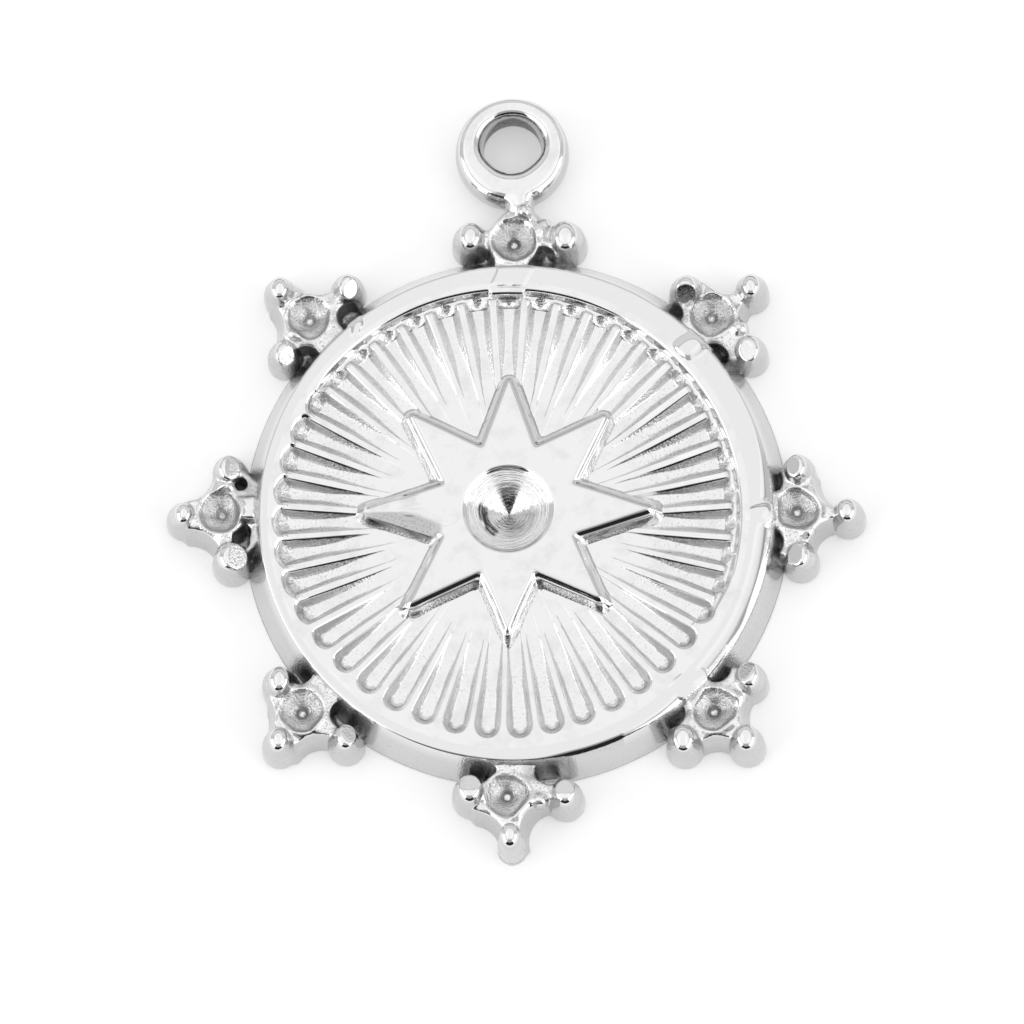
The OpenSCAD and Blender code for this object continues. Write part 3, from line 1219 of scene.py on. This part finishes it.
    def seat_shade(self, r: Array, bearing: Array) -> Array:
        """How much painted shade the seat gets: a streaked band in the south-west and wedges in the north and
        south.

        Args:
            r: Distances from the centre.
            bearing: Bearings.

        Returns:
            From 0 up.
        """
        streaks = self.streaks.over(r, bearing / 400) + self.broad_streaks.over(r * 0, bearing)
        band = window(0.66, 0.76, 0.94, 1.04, r) * window(196, 224, 270, 292, bearing)
        north = Stretch(2, 18, 32).share(bearing) * (0.55 + 0.7 * ramp(0.66, 0.40, r)) * ramp(1.0, 0.9, r)
        south = self.lower_shade * window(84, 100, 165, 215, bearing) * ramp(1.06, 0.9, r)
        return highest(self.band_shade * band * ramp(-0.8, 0.1, streaks), north, south)


# The stone settings


@dataclass
class Prong:
    """An upright prong with a bullet-shaped head."""

    across: float
    outward: float
    height: float = 1.85
    width: float = 1.0
    lean: float = 0.12
    straight: float = 0.0
    blunt: float = 0.3
    face: float = 0.0
    cast_face: float = 0.12
    # Painted shade on the worn face
    shade_level: float = 0.0
    squeeze: float = 0.2
    start: float = 0.08
    turn: float = 0.0
    foot_r: float = 0.27
    post_r: float = 0.45
    head_z: float = 1.48
    profile: Section = (
        (0.0, 0.0), (0.50, 0.0), (0.57, 0.06), (0.555, 0.35), (0.535, 0.65), (0.505, 0.95), (0.475, 1.15),
        (0.44, 1.33), (0.405, 1.48), (0.375, 1.59), (0.34, 1.68), (0.285, 1.76), (0.21, 1.82), (0.11, 1.86),
        (0.0, 1.87),
    )

    def from_face(self, x: Array, y: Array, bearing: float) -> tuple[Array, Array]:
        """Where points lie, seen from the prong's middle the way its worn face looks."""
        way = at_bearing(0, -1, bearing + self.turn)
        return seen_from(x, y, at_bearing(self.across, self.outward, bearing), way)

    def build(self, bearing: float) -> Mesh:
        """Makes the prong.

        Args:
            bearing: The setting's bearing.

        Returns:
            The closed mesh.
        """
        rings = []
        for r, z in self.profile:
            z = z - self.blunt * max(z - self.head_z, 0)
            upright = (z > 0) * max(1 - max(z - 1.1, 0) / 0.5, 0)
            rings.append((self.width * (r + self.straight * (self.post_r - r) * upright), z))
        stretch = self.height / rings[-1][1]
        x, y = at_bearing(self.across, self.outward, bearing)
        mesh = lathed((x, y, 0), [(r, z * stretch) for r, z in rings])
        co = rows_of(mesh)
        toward, _ = self.from_face(co[:, 0], co[:, 1], bearing)
        co[:, 0] = x + (co[:, 0] - x) * (1 - self.squeeze * ramp(0.9, 1.5, co[:, 2]))
        if self.face:
            face_z = self.height * 0.97 - self.face * (toward + self.start)
            co[:, 2] = np.minimum(co[:, 2], np.maximum(face_z, 1.0))
        away = self.lean * (co[:, 2] / self.height) ** 2
        for axis, way in enumerate(at_bearing(0, 1, bearing)):
            co[:, axis] -= way * away
        move_points(mesh, co)
        return mesh


@dataclass
class Setting:
    """One small stone setting: a drafted body with a drilled seat, and its prongs."""

    bearing: Bearing
    left: Prong
    outer: Prong
    right: Prong
    crevices: Sequence[Point] = ((-1.05, 8.5, 0.5), (1.05, 8.5, 0.5))
    lumps: Sequence[tuple[Point, Point]] = ()
    seat_at: float = 9.45
    seat_across: float = 0.0
    seat_r: float = 0.73
    seat_depth: float = 0.48
    seat_wall: float = 0.10
    arch_r: float = 1.25
    body_z: float = 1.19
    body_draft: float = 0.20
    cup_z: float = 1.27
    neck_lift: float = 0.0
    neck_half: float = 1.0
    neck_r: float = 8.2
    flare: float = 1.5
    spread: float = 0.42
    root_span: float = 13.0
    root_steps: int = 6
    root: Section = ((8.0, 0.06), (8.95, 0.06), (8.40, 1.30), (8.0, 1.36), (8.0, 0.06))
    body_voxel: float = 0.05
    voxel: float = 0.042
    # Painted shade on steep sides and in the loop's hole
    side_shade: float = 0.34
    hole_shade: float = 1.2
    seat_wave: Noise = Noise(0.16, 0.55, 40)
    body_wave: Noise = Noise(0.07, 0.42, 100)
    grain: Noise = Noise(0.022, 0.2, 100)
    point_noise: Noise = Noise(1.0, 0.13, 101)
    patches: Noise = Noise(0.14, 0.3, 102)
    seat_cast: float = 0.95
    body_cast: float = 0.25
    inner_cast: float = 0.4
    polish: float = 0.85
    # Painted shade at the joint with the disc, in the seat and round its drill point
    joint_shade: float = 0.70
    seat_shade: float = 0.36
    point_shade: float = 0.32

    @property
    def degrees(self) -> int:
        """The setting's bearing as a number."""
        return self.bearing.value

    def at(self, across: float, outward: float, z: float) -> Point:
        """A point given clockwise across the setting's bearing, outward along it and up."""
        return *at_bearing(across, outward, self.degrees), z

    def prongs(self) -> list[Prong]:
        """The prongs that stand up."""
        return [self.left, self.right, self.outer]

    def block(self) -> Mesh:
        """The body before it is cut: a hull over the prongs' feet and the neck.

        Returns:
            The closed mesh.
        """
        bm = bmesh.new()
        for prong in (self.left, self.outer, self.right):
            for z, draft in ((0.0, self.body_draft), (self.body_z, 0.0)):
                spot = Matrix.Translation(self.at(prong.across, prong.outward, z))
                bmesh.ops.create_circle(bm, segments=20, radius=prong.foot_r + draft, matrix=spot)
        for side in (-self.neck_half, self.neck_half):
            for z in (0.0, self.body_z):
                bmesh.ops.create_vert(bm, co=self.at(side, self.neck_r, z))
        bmesh.ops.convex_hull(bm, input=bm.verts)
        bmesh.ops.delete(bm, geom=[v for v in bm.verts if not v.link_faces], context="VERTS")
        weld(bm)
        return to_mesh(bm, "block")

    def tools(self) -> list[Mesh]:
        """What is cut from the block: two arches and the crevices beside the neck.

        Returns:
            Closed meshes.
        """
        seat = Vector((self.seat_across, self.seat_at))
        outer = Vector((self.outer.across, self.outer.outward))
        narrow, wide = self.arch_r - self.spread, self.arch_r + self.spread * 0.25
        cuts = []
        for prong in (self.left, self.right):
            away = ((Vector((prong.across, prong.outward)) + outer) / 2 - seat).normalized()
            spot = seat + away * (self.seat_r + self.seat_wall + self.arch_r)
            cuts.append(cone(self.at(spot.x, spot.y, -0.2), narrow, wide, self.body_z + 0.6))
        for across, outward, r in self.crevices:
            cuts.append(cone(self.at(across, outward, 0.35), r * 0.8, r * 1.1, 1.6))
        return cuts

    def cup(self) -> Mesh:
        """The cup that holds the stone seat, wider at its foot.

        Returns:
            The closed mesh.
        """
        r, high = self.seat_r + self.seat_wall, self.cup_z
        foot = [(0.0, 0.0), (r + 0.2, 0.0), (r + 0.17, 0.3), (r + 0.06, high - 0.4)]
        section = [*foot, (r, high - 0.1), (r - 0.07, high), (0.0, high)]
        return lathed(self.at(self.seat_across, self.seat_at, 0), section)

    def seat(self) -> Mesh:
        """The drilled stone seat, a little out of round, with a short upright wall above its cone.

        Returns:
            The closed mesh to cut away.
        """
        r, low = self.seat_r, -self.seat_depth
        point = [(0.0, low - 0.10), (0.11, low - 0.10), (0.19, low + 0.07)]
        section = [*point, (r * 0.5, -0.28), (r * 0.80, -0.19), (r, -0.02), (r * self.flare, 0.5), (0.0, 0.5)]
        middle = self.at(self.seat_across, self.seat_at, self.cup_z)
        mesh = lathed(middle, section)
        co = rows_of(mesh)
        warp = 1 + self.seat_wave.over(co[:, 0], co[:, 1], self.degrees)
        for axis in (0, 1):
            co[:, axis] = middle[axis] + (co[:, axis] - middle[axis]) * warp
        move_points(mesh, co)
        return mesh

    def wall_root(self) -> Mesh:
        """A slice of metal just inside the disc's side, so that the joint gets a fillet.

        Returns:
            The closed mesh.
        """

        def place(i: int, j: int) -> Point:
            """The point of a column and row."""
            r, z = self.root[j]
            side = i / self.root_steps - 1
            r = r - 0.08 * side**4 if r > 8.1 else r
            a = math.radians(self.degrees + self.root_span * side)
            return r * math.sin(a) + SIDE_SHIFT, r * math.cos(a), z

        bm = placed_grid(2 * self.root_steps, len(self.root) - 1, place)
        close_ends(bm)
        return to_mesh(bm, "root")

    def extras(self) -> list[Mesh]:
        """Further metal that is fused into the body."""
        return [ball(self.at(*at), size) for at, size in self.lumps]

    def rings(self) -> list[Mesh]:
        """Rings that the setting carries: none on an ordinary one."""
        return []

    def hole(self, x: Array, y: Array) -> Array:
        """How far points are in the wall of a ring's hole: not at all on an ordinary setting."""
        return np.zeros_like(x)

    def rough(self, y: Array) -> Array:
        """How much of the cast surface is left after polishing, from 0 to 1."""
        return np.ones_like(y)

    def wear(self, x: Array, y: Array, z: Array) -> tuple[Array, Array]:
        """How the metal of the body, the seat and the prongs' worn faces looks.

        Args:
            x: First coordinates.
            y: Second coordinates.
            z: Heights.

        Returns:
            How pitted it is and how much painted shade it gets.
        """
        across, outward = at_bearing(x, y, -self.degrees)
        from_seat = np.hypot(across - self.seat_across, outward - self.seat_at)
        pit = ramp(0.02, -0.06, from_seat - self.seat_r) * ramp(0.02, -0.06, z - self.cup_z)
        near_disc = ramp(9.12, 8.85, outward) * ramp(1.30, 1.05, z)
        near_disc = near_disc * window(0.42, 0.60, 1.5, 2.1, np.abs(across))
        cast = (self.body_cast + self.inner_cast * ramp(9.9, 9.3, outward)) * (1 - 0.6 * ramp(0.9, 0.5, z))
        pitted = highest(self.seat_cast * pit, near_disc, cast) * (1 - self.polish * ramp(1.34, 1.46, z))
        # Painted shade at the joint with the disc, patchy in the seat with a broken ring round its drill
        # point, and on the prongs' worn faces
        patchy = self.seat_shade + self.patches.over(x, y, self.degrees)
        point = self.point_shade * ramp(-0.9, 0.3, self.point_noise.over(x, y, self.degrees))
        point = point * window(0.07, 0.12, 0.15, 0.28, from_seat)
        painted_shade = highest(self.joint_shade * near_disc, (patchy * ramp(0.08, 0.14, from_seat) + point) * pit)
        for prong in self.prongs():
            toward, beside = prong.from_face(x, y, self.degrees)
            near = ramp(0.0, 0.12, toward + prong.start - 0.08) * ramp(0.52, 0.42, beside)
            facet = near * ramp(1.15, 1.25, z) * (toward < 0.6) * (prong.face > 0)
            pitted = pitted * (1 - facet) + prong.cast_face * facet
            painted_shade = np.maximum(painted_shade, prong.shade_level * facet)
        return pitted, painted_shade

    def build(self, material: Material) -> Object:
        """Makes the setting.

        Args:
            material: Its finish.

        Returns:
            The piece.
        """
        name = "setting_" + self.bearing.name.lower()
        block = carve(self.block(), self.tools())
        body = fused([block, self.cup(), *self.extras()], "body", self.body_voxel, 9)
        co = rows_of(body)
        wave = self.body_wave.over(co[:, 0], co[:, 1], self.degrees)
        co[:, 2] += np.where(co[:, 2] > 0.7, wave, 0)
        move_points(body, co)
        body = carve(body, [self.seat()])
        prongs = [prong.build(self.degrees) for prong in self.prongs()]
        mesh = fused([body, self.wall_root(), *prongs, *self.rings()], name, self.voxel, 4)
        x, y, z = rows_of(mesh).T
        across, outward = at_bearing(x, y, -self.degrees)
        lift = self.neck_lift * ramp(0.5, 0.3, np.abs(across - 0.1)) * ramp(9.05, 8.7, outward)
        lift = lift * (outward > 8.3) * ramp(0.8, 1.1, z)
        grain = self.grain.over(x, y, self.degrees) + lift
        z = z + np.where((z > 0.3) & (z < 1.32), grain, 0)
        move_points(mesh, np.column_stack([x, y, z]))
        pitted, painted_shade = self.wear(x, y, z)
        inside = self.hole(x, y) * ramp(1.46, 1.40, z)
        # Painted shade on steep and overhanging sides and in the wall of the loop's hole
        steep = self.side_shade * ramp(0.7, 0.3, rows_of(mesh, "normal")[:, 2])
        mark(mesh, PITTED, np.maximum(pitted, inside) * self.rough(y))
        mark(mesh, PAINTED_SHADE, highest(painted_shade, steep, self.hole_shade * inside))
        return finished(mesh, name, material)


@dataclass
class LoopSetting(Setting):
    """The setting at the top, with the hanging loop on a crooked stalk in place of its outer prong."""

    loop_x: float = 0.04
    loop_y: float = 12.50
    loop_z: float = 1.5
    outer_r: float = 1.91
    hole_r: float = 0.92
    hole_rise: float = 0.20
    flats: Sequence[float] = (3.9, 5.5)
    flat_deep: float = 0.05
    flat_wide: float = 0.35
    ring_steps: tuple[int, int] = (96, 40)
    stalk_sides: int = 24
    stalk: Sequence[tuple[float, float, float, float]] = (
        (0.20, 9.75, 0.80, 1.20),
        (0.36, 10.05, 0.56, 1.26),
        (0.40, 10.34, 0.45, 1.32),
        (0.32, 10.58, 0.44, 1.40),
        (0.20, 10.78, 0.56, 1.44),
        (0.12, 10.98, 0.78, 1.44),
        (0.10, 11.20, 0.95, 1.42),
    )

    @property
    def hole_y(self) -> float:
        """Second coordinate of the hole's middle, a little above the ring's."""
        return self.loop_y + self.hole_rise

    def prongs(self) -> list[Prong]:
        """The prongs that stand up: two, since the stalk takes the third's place."""
        return [self.left, self.right]

    def ring(self) -> Mesh:
        """The hanging loop, a soft-edged ring whose hole sits a little high.

        Returns:
            The closed mesh.
        """
        around, rows = self.ring_steps

        def place(i: int, j: int) -> Point:
            """The point of a step round the ring and round its section."""
            a, b = math.tau * i / around, math.tau * j / rows
            flat = sum(self.flat_deep * math.exp(-(((a - at) / self.flat_wide) ** 2)) for at in self.flats)
            c, s = math.cos(b), math.sin(b)
            power = 2 / (2.8 - 0.3 * c - 0.6 * (s < 0))
            u, v = 0.5 + 0.5 * signed_power(c, power), signed_power(s, power)
            inner = self.hole_r - flat
            ix = self.loop_x + (inner + 0.05 + 0.05 * v) * math.cos(a)
            iy = self.hole_y + (inner + 0.03) * math.sin(a)
            ox, oy = self.loop_x + self.outer_r * math.cos(a), self.loop_y + self.outer_r * math.sin(a)
            return ix + (ox - ix) * u, iy + (oy - iy) * u, self.loop_z / 2 * (1 + v)

        return to_mesh(placed_grid(around, rows, place), "ring")

    def neck(self) -> Mesh:
        """The stalk between the setting and the loop.

        Returns:
            The closed mesh.
        """

        def place(i: int, j: int) -> Point:
            """The point of a side and row."""
            x, y, half, high = self.stalk[j]
            b = math.tau * i / self.stalk_sides
            u, v = signed_power(math.cos(b), 0.6), signed_power(math.sin(b), 0.6)
            return x + half * u, y, high / 2 * (1 + v)

        bm = placed_grid(self.stalk_sides, len(self.stalk) - 1, place)
        close_ends(bm)
        return to_mesh(bm, "neck")

    def extras(self) -> list[Mesh]:
        """The stalk and the rough metal round the seat."""
        return [self.neck(), *super().extras()]

    def rings(self) -> list[Mesh]:
        """The hanging loop."""
        return [self.ring()]

    def hole(self, x: Array, y: Array) -> Array:
        """How far points are in the wall of the loop's hole, from 0 to 1."""
        return ramp(self.hole_r + 0.08, self.hole_r + 0.03, np.hypot(x - self.loop_x, y - self.hole_y))

    def rough(self, y: Array) -> Array:
        """How much of the cast surface is left: the loop is polished but for the wall of its hole."""
        return 1 - 0.85 * ramp(10.8, 11.3, y) * (np.abs(y - self.hole_y) > self.hole_r + 0.1)


def charm_settings() -> list[Setting]:
    """The eight settings, each with the prongs as they were cast.

    Returns:
        The settings, clockwise from the loop's own.
    """
    return [
        LoopSetting(
            Bearing.N,
            Prong(-1.32, 9.42, height=1.66, width=1.2, lean=0.0),
            Prong(0.42, 10.30),
            Prong(1.84, 9.42, height=1.62, width=1.3, lean=0.0),
            crevices=((-0.98, 8.66, 0.5), (1.06, 8.70, 0.48)),
            lumps=(
                ((0.98, 9.72, 0.78), (0.42, 0.40, 0.50)),
                ((1.14, 9.92, 0.85), (0.27, 0.27, 0.42)),
                ((0.48, 10.30, 1.24), (0.26, 0.27, 0.30)),
            ),
            flare=1.15,
            seat_at=9.30,
            seat_across=0.12,
            seat_r=0.76,
        ),
        Setting(
            Bearing.NE,
            Prong(
                -1.18, 9.54, height=1.76, width=1.15, face=1.0, cast_face=0.7, shade_level=0.6, start=0.06, turn=-45
            ),
            Prong(0.30, 11.08, width=1.06),
            Prong(1.78, 9.50, height=1.78, width=1.12, blunt=0.5, face=0.35),
            lumps=(((0.95, 9.75, 0.95), (0.38, 0.36, 0.42)), ((-0.62, 9.42, 1.1), (0.30, 0.26, 0.34))),
        ),
        Setting(
            Bearing.E,
            Prong(-1.35, 9.53, height=1.8, width=1.08, face=0.5),
            Prong(0.15, 11.14, width=1.05),
            Prong(1.60, 9.58, height=1.72, width=1.1, face=0.6),
            lumps=(((0.70, 9.70, 1.0), (0.34, 0.30, 0.36)),),
        ),
        Setting(
            Bearing.SE,
            Prong(-1.55, 9.57, height=1.72, width=1.12, face=0.6),
            Prong(0.00, 10.98, width=1.08, blunt=0.5),
            Prong(1.44, 9.56, height=1.78, width=1.12, blunt=0.5),
            lumps=(((-0.80, 9.66, 1.0), (0.36, 0.30, 0.36)),),
        ),
        Setting(
            Bearing.S,
            Prong(-1.88, 9.52, height=1.7, width=1.12, face=0.5),
            Prong(-0.14, 11.06, height=2.25, width=1.0, lean=0.16, straight=1.0, blunt=0.5),
            Prong(1.18, 9.40, height=1.72, width=1.15, blunt=0.5, face=0.4),
            crevices=((-1.38, 8.76, 0.38), (-1.20, 8.70, 0.34), (0.98, 8.68, 0.30), (0.62, 8.74, 0.32)),
            lumps=(((-1.0, 9.62, 1.0), (0.36, 0.28, 0.38)),),
        ),
        Setting(
            Bearing.SW,
            Prong(-1.70, 9.15, height=1.72, width=1.08, face=0.6),
            Prong(-0.24, 10.76, width=1.05),
            Prong(1.20, 9.35, height=1.74, width=1.1, blunt=0.4),
            lumps=(((0.62, 9.42, 1.02), (0.34, 0.30, 0.36)),),
        ),
        Setting(
            Bearing.W,
            Prong(-1.58, 9.13, height=1.74, width=1.2, face=0.6, cast_face=0.8, squeeze=0.0),
            Prong(-0.10, 10.80, height=1.7, lean=0.18, blunt=0.1),
            Prong(1.46, 9.24, height=1.62, width=1.1, lean=0.0, face=0.5, cast_face=0.5),
            crevices=((-0.66, 8.78, 0.34), (-0.98, 8.78, 0.30), (0.98, 8.84, 0.24)),
            lumps=(((0.86, 9.30, 1.0), (0.36, 0.34, 0.38)),),
            neck_lift=0.25,
        ),
        Setting(
            Bearing.NW,
            Prong(-1.47, 9.17, height=1.72, width=1.06, face=0.6, cast_face=0.8),
            Prong(-0.04, 10.85, width=1.05),
            Prong(1.62, 9.33, height=1.74, width=1.08, face=0.55),
            lumps=(((-0.72, 9.40, 1.02), (0.34, 0.30, 0.36)),),
        ),
    ]


# Studio and camera


@dataclass(frozen=True)
class Softbox:
    """A soft light or a dark card in the tent round the charm, given by where it stands."""

    bearing: float
    elevation: float
    half_width: float
    half_height: float
    edge: float
    level: float


@dataclass
class Tent:
    """The light tent: a bright ceiling, two side lights and a dark gap on the camera's side."""

    ceiling: float = 1.09
    ceiling_from: float = 42.0
    ceiling_full: float = 50.0
    horizon: float = 0.65
    boxes: Sequence[Softbox] = (
        Softbox(90, 66, 45, 10, 12, 1.20),
        Softbox(270, 66, 45, 10, 12, 1.20),
        Softbox(0, 44, 181, 1.6, 2, 0.30),
        Softbox(115, 24, 32, 16, 8, 2.2),
        Softbox(245, 24, 32, 16, 8, 2.2),
        Softbox(180, 45, 32, 15, 6, 0.45),
        Softbox(180, 14, 39, 17, 6, 0.02),
        Softbox(0, 26, 62, 15, 6, 0.84),
        Softbox(0, 4, 40, 7, 5, 0.25),
    )

    def build(self) -> None:
        """Makes the world round the charm."""
        world = bpy.data.worlds.new("light_tent")
        bpy.context.scene.world = world
        add = partial(add_node, cleared(world))
        x = add("SeparateXYZ", [add("TexCoord", output="Generated")])
        y, z = (x.node.outputs[axis] for axis in "YZ")
        elevation = add("Math", [add("Math", [z], operation="ARCSINE")], operation="DEGREES")
        bearing = add("Math", [add("Math", [x, y], operation="ARCTAN2")], operation="DEGREES")

        def fade(value: NodeSocket, start: float, full: float, **ends: float) -> NodeSocket:
            """A smooth change over a range of angles."""
            levels = {"Value": value, "From Min": start, "From Max": full}
            levels |= {"To " + end: level for end, level in ends.items()}
            return add("MapRange", levels, interpolation_type="SMOOTHSTEP")

        level = fade(elevation, self.ceiling_from, self.ceiling_full, Min=self.horizon, Max=self.ceiling)
        for box in self.boxes:
            turn = add("Math", [bearing, box.bearing], operation="SUBTRACT")
            turn = add("Math", [turn, 180.0, -180.0], operation="WRAP")
            rise = add("Math", [elevation, box.elevation], operation="SUBTRACT")
            masks = []
            for off, half in ((turn, box.half_width), (rise, box.half_height)):
                off = add("Math", [off], operation="ABSOLUTE")
                masks.append(fade(off, half + box.edge / 2, half - box.edge / 2))
            mask = add("Math", masks, operation="MULTIPLY")
            keep = add("Math", [level, add("Math", [1.0, mask], operation="SUBTRACT")], operation="MULTIPLY")
            level = add("Math", [mask, box.level, keep], operation="MULTIPLY_ADD")
        add("OutputWorld", [add("Background", {"Color": (1, 1, 1, 1), "Strength": level})])


@dataclass
class Studio:
    """Floor, light tent and camera."""

    floor_half: float = 1000.0
    distance: float = 140.0
    tilt: float = 15.4
    swing: float = 9.0
    view_mm: float = 33.8
    aim_right: float = 0.066
    aim_up: float = 0.28
    sensor: float = 36.0
    clip: tuple[float, float] = (0.01, 10.0)
    tent: Tent = field(default_factory=Tent)

    def floor(self) -> Object:
        """Lays the paper the charm rests on.

        Returns:
            The floor.
        """
        bm = bmesh.new()
        bmesh.ops.create_grid(bm, x_segments=1, y_segments=1, size=self.floor_half * MM)
        mesh = to_mesh(bm, "floor")
        mesh.materials.append(FloorFinish().build())
        return linked("floor", mesh)

    def camera(self) -> None:
        """Sets the camera where the photograph was taken from."""
        tau, phi = math.radians(self.tilt), math.radians(self.swing)
        north = Vector((-math.sin(phi), math.cos(phi), 0))
        east = Vector((math.cos(phi), math.sin(phi), 0))
        up0 = north * math.cos(tau) + Vector((0, 0, math.sin(tau)))
        back = Vector((0, 0, math.cos(tau))) - north * math.sin(tau)
        right = east * math.cos(phi) - up0 * math.sin(phi)
        up = east * math.sin(phi) + up0 * math.cos(phi)
        place = (back * self.distance + right * self.aim_right + up * self.aim_up) * MM
        data = bpy.data.cameras.new("camera")
        data.sensor_width = self.sensor
        data.lens = self.sensor * self.distance / self.view_mm
        data.clip_start, data.clip_end = self.clip
        cam = linked("camera", data)
        cam.matrix_world = Matrix.Translation(place) @ Matrix((right, up, back)).transposed().to_4x4()
        bpy.context.scene.camera = cam

    def build(self) -> None:
        """Sets up the studio."""
        self.floor()
        self.tent.build()
        self.camera()
        bpy.context.scene.view_settings.view_transform = "Standard"


def main() -> None:
    """Builds the charm and its studio."""
    logging.basicConfig(level=logging.INFO, format="%(name)s: %(message)s")
    metal = PlatedFinish().build()
    for piece in (Disc(), Star(), *charm_settings()):
        piece.build(metal)
    Studio().build()


if __name__ == "__main__":
    main()
